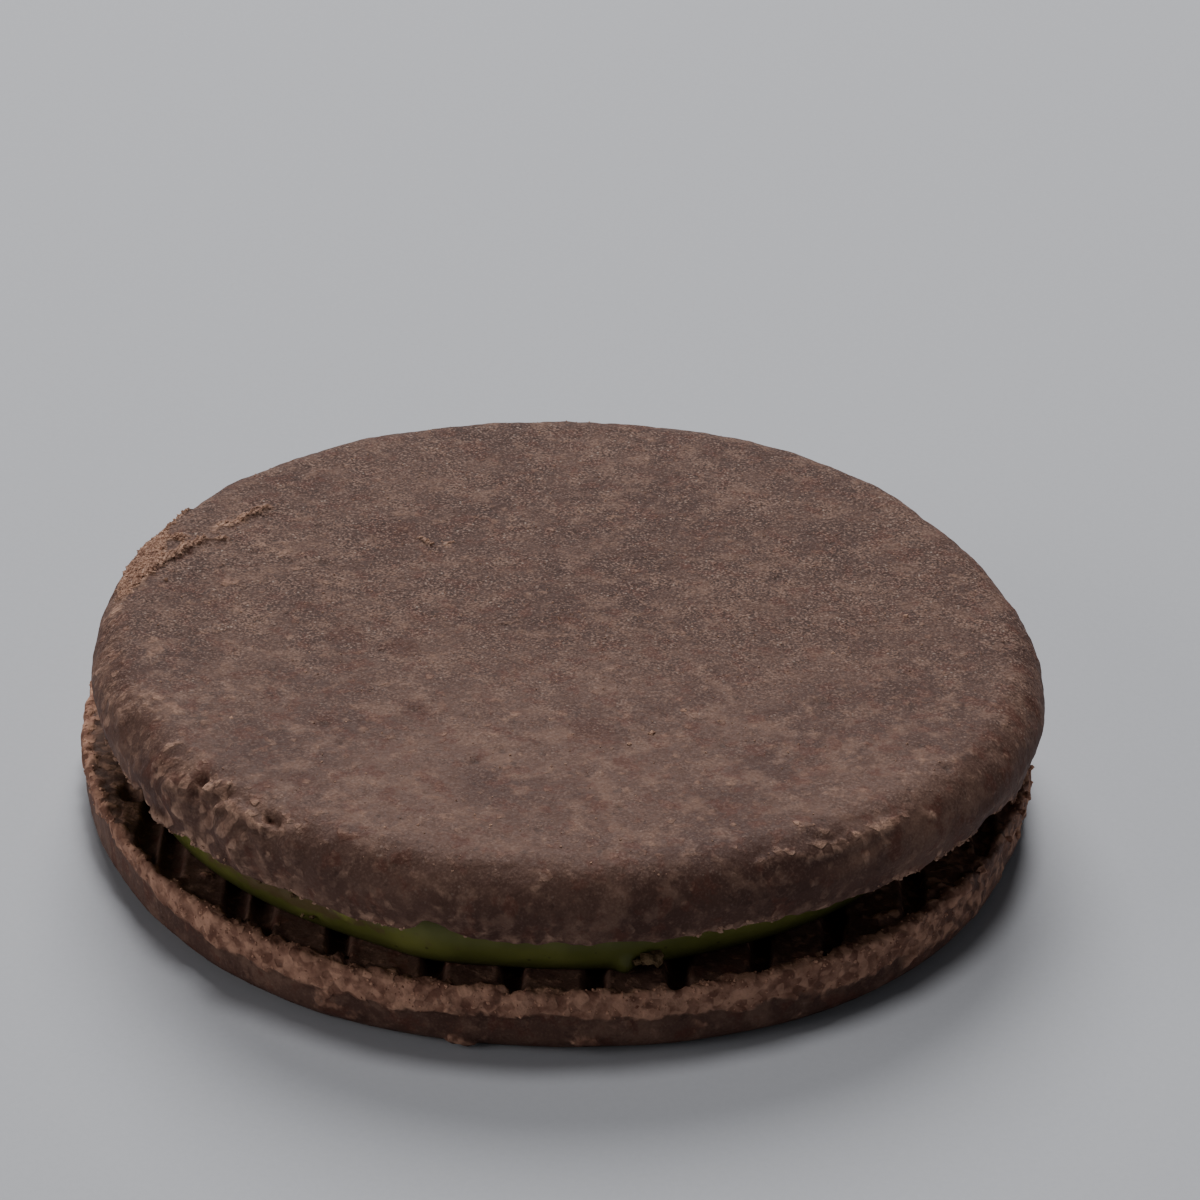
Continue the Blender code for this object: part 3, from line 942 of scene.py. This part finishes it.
def baked_skin(place, ragged):
    """The colour of the unbroken skin: slow shades, blotches, dark gaps and a few red-brown spots."""
    tone = place.hills(7 * MM, 3).ease(0.34, 0.66).over(SKIN_DARK, SKIN)
    pale_patch = (place.hills(1.9 * MM, 7, 0.31) + ragged * 0.3).ease(0.46, 0.66)
    tone = (pale_patch * 0.8).over(tone, SKIN_PALE)
    red_patch = (place.hills(1.5 * MM, 6, 0.77) + ragged * 0.3).ease(0.52, 0.66)
    tone = (red_patch * 0.8).over(tone, REDDISH)
    tone = (place.hills(0.7 * MM, 4, 0.13).ease(0.60, 0.72) * 0.5).over(tone, BETWEEN_GRAINS)
    for *spot, width in RED_SPOTS:
        centre = [value * MM for value in spot]
        off = place.node("ShaderNodeVectorMath", {"operation": "DISTANCE"}, {0: place, 1: centre}, "Value")
        off = off + ragged * width * 1.5 * MM
        tone = (off.ease(1.2 * width * MM, 0.7 * width * MM) * 0.7).over(tone, RED_BROWN)
    return tone


print("tones set, with", len(RED_SPOTS), "red-brown spots")

# %% [markdown]
# Where the stored crumb share is high, the colour turns to bare crumb. Noise breaks the edges of every
# stored share, which is only as fine as the mesh. The bump uses true heights in metres, so the grain
# keeps its real size from any distance.

# %% Cocoa and crumb finishes
GRAIN_WIDTH = 0.19 * MM


def cocoa_finish(name, crumb_tones):
    """The gritty skin of a biscuit, which turns to dust and crumb, and takes painted shade in pits and
    slots, where its shares say so.
    """
    finish, shader, place = new_finish(name)
    clods = place.clods(0.55 * MM)
    ragged = (place.hills(0.6 * MM, 4, 0.5) - 0.5) * 0.7 + (clods - 0.5) * 0.3
    bare = (place.stored("crumb") * 0.8 + ragged * 1.2 + 0.1).ease(0.18, 0.86)
    dust = (place.stored("pale") + ragged * 1.6 - 0.1).ease(0.05, 0.95)
    grit = place.hills(0.16 * MM, 4, 0.2)
    dense = place.hills(1.8 * MM, 3, 0.55).ease(0.36, 0.62)
    chance = place.grains(GRAIN_WIDTH, "Color").part("ShaderNodeSeparateColor", "Red")
    middle = 1 - place.grains(GRAIN_WIDTH).ease(0.25, 0.60)
    raised = place.part("ShaderNodeSeparateXYZ", "Z").ease(9.5 * MM, 12.0 * MM)
    far = place.part("ShaderNodeSeparateXYZ", "Y").ease(-18 * MM, 4 * MM)
    loose = raised * (far * 0.8 + 0.2)
    gritty = (dense * 0.5 + 0.5) * (loose * 0.8 + 0.2)
    tone = (dust * 0.8).over(baked_skin(place, ragged), DUST)
    crumb_tone = (place.hills(1.1 * MM, 6, 0.4) * 0.75 + clods * 0.25).ease(0.29, 0.72).over(*crumb_tones)
    tone = bare.over(tone, crumb_tone)
    tone = ((1 - grit.ease(0.36, 0.56)) * (1 - bare * 0.4) * gritty * 0.95).over(tone, BETWEEN_GRAINS)
    tone = (grit.ease(0.52, 0.68) * (1 - bare * 0.6) * gritty * 0.80).over(tone, GRAIN)
    # Rare bright specks: sugar grains that are also painted glints.
    tone = (chance.ease(0.955, 0.99) * middle * gritty * 0.6).over(tone, SUGAR_AND_GLINT)
    # Painted shade in the air holes, under the sunk marks and on the slot floors.
    tone = (place.stored("pit_shade").ease(0.15, 0.8) * 0.6).over(tone, PAINTED_PIT_SHADE)
    height = place.hills(0.5 * MM, 6, 0.9) * (loose * 0.12 + 0.08) * MM + grit * loose * (0.09 * MM)
    height = height + bare * place.hills(0.35 * MM, 4, 0.6) * (raised * 0.08 + 0.12) * MM
    height = height + bare * clods * (0.08 * MM)
    rough = bare * 0.1 + 0.72 + (chance - 0.5) * 0.12
    feed(shader, Base_Color=tone, Normal=height.as_normal(0.9), Roughness=rough)
    shader.inputs["Specular IOR Level"].default_value = 0.18
    return finish


def crumb_finish(name, crumb_tones):
    """Plain crumb in two tones, for the loose crumbs."""
    finish, shader, place = new_finish(name)
    tone = place.hills(0.6 * MM, 4).ease(0.30, 0.60).over(*crumb_tones)
    height = place.hills(0.12 * MM, 3) * (0.05 * MM)
    feed(shader, Base_Color=tone, Normal=height.as_normal(0.9))
    shader.inputs["Roughness"].default_value = 0.85
    shader.inputs["Specular IOR Level"].default_value = 0.15
    return finish


upper_cocoa = cocoa_finish("upper_cocoa", UPPER_CRUMB)
lower_cocoa = cocoa_finish("lower_cocoa", LOWER_CRUMB)
upper_crumb = crumb_finish("upper_crumb", UPPER_CRUMB)
lower_crumb = crumb_finish("lower_crumb", LOWER_CRUMB)
smeared_crumb = crumb_finish("smeared_crumb", SMEARED_CRUMB)
print("finishes:", upper_cocoa.name, lower_cocoa.name, upper_crumb.name, lower_crumb.name)

# %% [markdown]
# ## Tea cream as a finish
# The cream is smooth and faintly shiny, with a little light passing into it. Powdered tea leaves fine
# dark specks in it and two brighter spots at the front, and its green shifts slowly from place to place.
# At the left, crumbs are rubbed into its upper edge, and towards the lower biscuit its green is darkened by
# painted shade.

# %% Cream finish
CREAM_GREEN = colour(0.112, 0.116, 0.024)
CREAM_PALE = colour(0.168, 0.168, 0.038)
# Dark green of the tea specks, used again as painted shade near the lower biscuit.
CREAM_SPECK_AND_SHADE = colour(0.040, 0.040, 0.012)
CREAM_CRUMB = colour(0.130, 0.080, 0.040)
TEA_DUST = colour(0.300, 0.330, 0.060)


def cream_finish(name):
    """Smooth green cream with specks of tea and the crumb that sticks to it, and painted shade towards the
    lower biscuit.
    """
    finish, shader, place = new_finish(name)
    tone = place.hills(5 * MM, 3).ease(0.38, 0.66).over(CREAM_GREEN, CREAM_PALE)
    chance = place.grains(0.5 * MM, "Color").part("ShaderNodeSeparateColor", "Green")
    spot = chance.ease(0.90, 0.93) * (1 - place.grains(0.5 * MM).ease(0.12, 0.30))
    tone = (spot * 0.7).over(tone, CREAM_SPECK_AND_SHADE)
    rubbed = (place.stored("crumb") + place.hills(0.8 * MM, 5, 0.3) * 1.6).ease(1.10, 1.45)
    tone = (rubbed * 0.8).over(tone, CREAM_CRUMB)
    dusted = (place.stored("pale") + place.hills(0.5 * MM, 3) * 0.8).ease(0.75, 1.3)
    tone = (dusted * 0.6).over(tone, TEA_DUST)
    # Painted shade: the cream darkens towards the lower biscuit.
    low = place.part("ShaderNodeSeparateXYZ", "Z").ease(5.3 * MM, 4.2 * MM)
    tone = (low * 0.5).over(tone, CREAM_SPECK_AND_SHADE)
    height = place.hills(1.1 * MM, 3) * (0.05 * MM)
    rough = place.hills(2 * MM, 2) * 0.2 + 0.35
    feed(shader, Base_Color=tone, Normal=height.as_normal(0.7), Roughness=rough)
    shader.inputs["Specular IOR Level"].default_value = 0.28
    shader.inputs["Subsurface Weight"].default_value = 0.25
    shader.inputs["Subsurface Radius"].default_value = (0.6, 0.8, 0.2)
    shader.inputs["Subsurface Scale"].default_value = 1.0 * MM
    return finish


tea_cream = cream_finish("tea_cream")
print("finish:", tea_cream.name)

# %% [markdown]
# ## Crumbs that cling to the broken edges
# Wherever the skin is broken, loose crumbs stick to it. Each is a small lumpy ball with few faces,
# squashed, turned and half sunk into the surface. Only a dozen balls are modelled: copies of them are
# joined in one mesh for each kind of crumb. Most of their places are drawn from the points whose crumb
# share is high, so they follow the broken edges by themselves.

# %% Crumb balls and scattering
BALL_KINDS = 12


def lumpy_ball(number):
    """One crumb of unit size with a few flat faces."""
    bm = bmesh.new()
    bmesh.ops.create_uvsphere(bm, u_segments=7, v_segments=5, radius=1.0)
    for vertex in bm.verts:
        vertex.co *= 1.0 + 0.70 * noise.noise(vertex.co * 1.4 + Vector((7.3 * number, 0, 0)))
    mesh = bpy.data.meshes.new(f"crumb_ball_{number}")
    bm.to_mesh(mesh)
    bm.free()
    return mesh


balls = [lumpy_ball(number) for number in range(BALL_KINDS)]


def spots_on(bm, count, wanted, seed):
    """Random places and normals on a surface, among the points that a rule wants."""
    layer = bm.verts.layers.float["crumb"]
    chosen = [point for point in bm.verts if wanted(point.co, point.normal, point[layer])]
    picked = random.Random(seed).sample(chosen, min(count, len(chosen)))
    return [(point.co.copy(), point.normal.copy(), None) for point in picked]


def crumbs(name, spots, small, large, finish, seed, sink=0.35):
    """Join a crumb at every spot into one piece. A spot may bring its own size. Each crumb is sunk by
    a share of its size."""
    draw = random.Random(seed)
    bm = bmesh.new()
    for place, normal, size in spots:
        size = size or (small + (large - small) * draw.random() ** 2.5)
        axis = Vector((draw.uniform(-1, 1), draw.uniform(-1, 1), draw.uniform(-1, 1)))
        turn = Matrix.Rotation(draw.uniform(0, math.tau), 4, axis)
        squash = Matrix.Diagonal((size, size * draw.uniform(0.6, 1.0), size * draw.uniform(0.5, 0.9), 1.0))
        where = Matrix.Translation(place + normal * size * (0.5 - sink)) @ turn @ squash
        ball = draw.choice(balls)
        ball.transform(where)
        bm.from_mesh(ball)
        ball.transform(where.inverted())
    finished(name, bm, finish, smooth=False)


print(len(balls), "balls of", len(balls[0].polygons), "faces")

# %% [markdown]
# A few crumbs lie at places of their own: on the baked top, stuck to the cream, and out on the right
# rim, where they break the outline.

# %% Crumbs with places of their own
TOP_CRUMB_HEIGHT = 12.05
# x, y, size on the top, and x, y, z, size on the rim and the cream
TOP_CRUMBS = (
    (5.7, -13.3, 0.30),
    (7.6, -10.5, 0.24),
    (16.9, -3.0, 0.22),
    (21.7, 2.1, 0.20),
    (-19.5, -13.1, 0.22),
    (4.4, -14.6, 0.18),
    (-25.2, 4.0, 0.16),
)
RIM_CRUMBS = (
    (29.8, -2.7, 4.1, 0.24),
    (29.3, -6.1, 4.1, 0.30),
    (28.9, -7.9, 4.0, 0.28),
    (27.9, -10.9, 3.9, 0.26),
    (28.3, -7.0, 4.2, 0.30),
    (28.6, -9.2, 3.2, 0.24),
    (25.9, -14.8, 4.0, 0.34),
    (21.0, -20.5, 1.5, 0.36),
    (-27.6, -10.6, 4.0, 0.30),
)
CREAM_CRUMBS = (
    (5.7, -27.15, 5.30, 0.62),
    (6.3, -27.05, 5.25, 0.48),
    (5.2, -27.25, 5.10, 0.34),
    (-17.9, -20.6, 6.6, 0.20),
    (-17.2, -21.6, 6.1, 0.16),
    (-15.1, -23.1, 6.2, 0.18),
    (-14.5, -23.4, 5.0, 0.16),
    (-13.9, -23.7, 5.1, 0.20),
    (-8.7, -26.2, 6.8, 0.14),
    (14.3, -22.8, 6.0, 0.16),
)


def by_hand(rows, height=None):
    """Spots given as places in millimetres with a size each."""
    spots = []
    for x, y, *rest in rows:
        z = height if height is not None else rest[0]
        spots.append((Vector((x, y, z)) * MM, Vector((0, 0, 1)), rest[-1] * MM))
    return spots


print(len(TOP_CRUMBS) + len(RIM_CRUMBS) + len(CREAM_CRUMBS), "crumbs placed by hand")

# %% [markdown]
# All the others are drawn at random, each kind by a rule of its own: the ragged foot and the torn strip
# of the upper biscuit, its whole top, and the broken rim of the lower one.

# %% Scatter the crumbs


def low_edge(place, normal, crumb):
    far_out = place.xy.length > 28 * MM
    return crumb > 0.35 and place.z < UPPER_FOOT + 0.6 * MM and normal.z > -0.9 and far_out


def torn_top(place, normal, crumb):
    return crumb > 0.6 and place.z > 10.4 * MM and place.y > 0


def lower_rim(place, normal, crumb):
    return crumb > 0.55 and place.z > 2.2 * MM


def plain_top(place, normal, crumb):
    return place.z > 11.2 * MM


foot_spots = spots_on(upper_blank, 240, low_edge, seed=3)
torn_spots = spots_on(upper_blank, 750, torn_top, seed=4)
rim_spots = spots_on(lower_blank, 1500, lower_rim, seed=6)
grain_spots = spots_on(upper_blank, 900, plain_top, seed=5)
top_spots = by_hand(TOP_CRUMBS, TOP_CRUMB_HEIGHT)
edge_spots = by_hand(RIM_CRUMBS)
cream_spots = by_hand(CREAM_CRUMBS)
crumbs("foot_crumbs", foot_spots, 0.06 * MM, 0.18 * MM, upper_crumb, seed=7, sink=0.5)
crumbs("torn_crumbs", torn_spots, 0.07 * MM, 0.20 * MM, upper_crumb, seed=8, sink=0.6)
crumbs("top_crumbs", top_spots, 0, 0, upper_crumb, seed=9, sink=0.6)
crumbs("top_grains", grain_spots, 0.04 * MM, 0.09 * MM, upper_crumb, seed=12, sink=0.45)
crumbs("rim_crumbs", rim_spots, 0.06 * MM, 0.15 * MM, lower_crumb, seed=10, sink=0.7)
crumbs("edge_crumbs", edge_spots, 0, 0, lower_crumb, seed=14)
crumbs("cream_crumbs", cream_spots, 0, 0, smeared_crumb, seed=13, sink=0.7)
for ball in balls:
    bpy.data.meshes.remove(ball)

# %% [markdown]
# ## Finish the three layers
# The crumbs are placed, so the blanks can become objects now. Each stands for the solid of its layer,
# which stays in the frame for its weight and its contact.

# %% Make the three pieces
finished("upper_biscuit_baked", upper_blank, upper_cocoa, "upper_biscuit")
finished("lower_biscuit_baked", lower_blank, lower_cocoa, "lower_biscuit")
finished("cream_layer", cream_blank, tea_cream, "cream_filling")

# %% [markdown]
# ## The table
# A wide, pale, matt floor catches the soft shadow. It is a stage, not a part of the cookie.

# %% Lay the floor
FLOOR_REACH = 2.0
FLOOR_TONES = (colour(0.430, 0.442, 0.476), colour(0.465, 0.477, 0.513))
floor_bm = bmesh.new()
bmesh.ops.create_grid(floor_bm, x_segments=1, y_segments=1, size=FLOOR_REACH)
floor_mesh = bpy.data.meshes.new("floor")
floor_bm.to_mesh(floor_mesh)
floor_bm.free()
floor = bpy.data.objects.new("floor", floor_mesh)
bpy.context.scene.collection.objects.link(floor)
floor_finish, floor_shader, floor_place = new_finish("pale_floor")
floor_tone = floor_place.hills(0.35 * MM, 2).over(*FLOOR_TONES)
feed(floor_shader, Base_Color=floor_tone)
floor_shader.inputs["Roughness"].default_value = 0.75
floor_mesh.materials.append(floor_finish)
print("floor laid")
